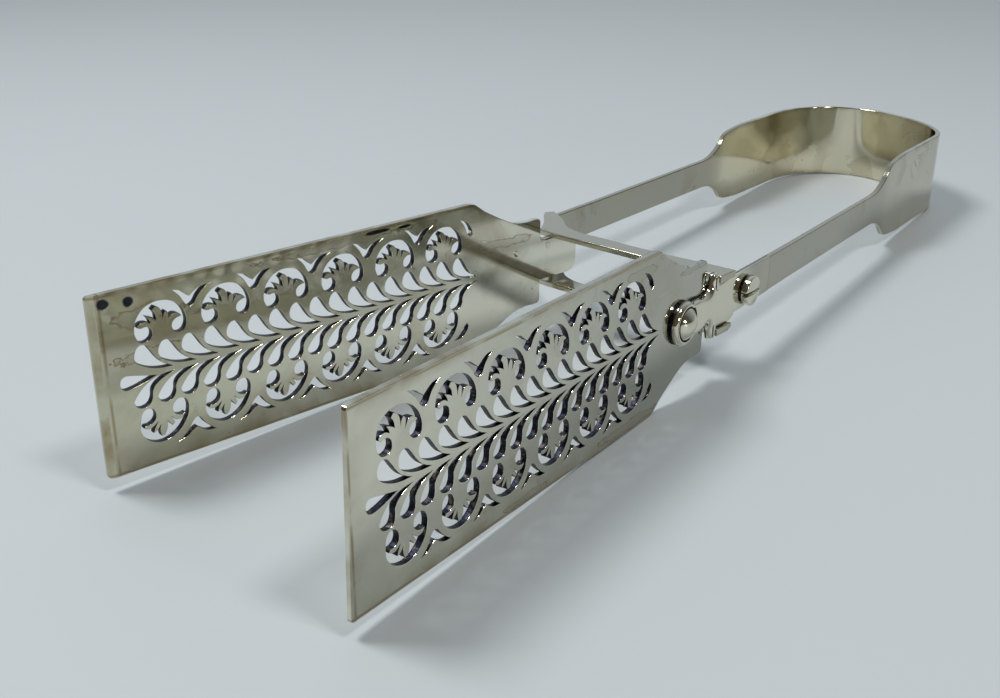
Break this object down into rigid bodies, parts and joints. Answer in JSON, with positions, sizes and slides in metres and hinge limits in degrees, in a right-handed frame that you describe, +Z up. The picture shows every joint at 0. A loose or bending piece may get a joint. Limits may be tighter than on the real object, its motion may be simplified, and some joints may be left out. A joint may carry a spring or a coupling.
{
  "type": "asparagus tongs",
  "caption": "Silver-plated asparagus tongs: two pierced blades on a sprung fiddle-shaped bow, held in line by a guide of two straps.",
  "frame": {"origin": "on the table, under the middle of the whole object's box", "axes": "+X from the blade tips to the bow, +Y from the left arm to the right arm, +Z up from the table"},
  "size_m": [0.2522, 0.0694, 0.0346],
  "materials": {
    "strip_silver": "silver plate, polished, lightly worn",
    "left_blade_silver": "silver plate, polished, fine scratches",
    "right_blade_silver": "silver plate, polished, toned",
    "head_silver": "silver plate, polished",
    "guide_silver": "silver plate, polished",
    "rivet_silver": "silver plate, polished"
  },
  "bodies": {
    "bow": {"bow_crown": "strip_silver"},
    "left_arm": {"left_arm_strip": "strip_silver", "left_head_plate": "head_silver", "left_blade": "left_blade_silver", "left_boss_rivet": "rivet_silver", "left_screw": "rivet_silver"},
    "right_arm": {"right_arm_strip": "strip_silver", "right_blade": "right_blade_silver", "right_front_rivet": "rivet_silver", "right_rear_rivet": "rivet_silver", "guide_upper_strap": "guide_silver", "guide_lower_strap": "guide_silver"}
  },
  "joints": [
    {"name": "left_arm_bend", "type": "hinge", "parent": "bow", "child": "left_arm", "pos_m": [0.12087, 0.00075, 0.01037], "axis": [-0.0335, 0, -0.9994], "range_deg": [0, 6.5], "stiffness_Nm_per_rad": 5},
    {"name": "right_arm_bend", "type": "hinge", "parent": "bow", "child": "right_arm", "pos_m": [0.12254, 0.02472, 0.01031], "axis": [0.0335, 0, 0.9994], "range_deg": [0, 6.5], "stiffness_Nm_per_rad": 5}
  ]
}
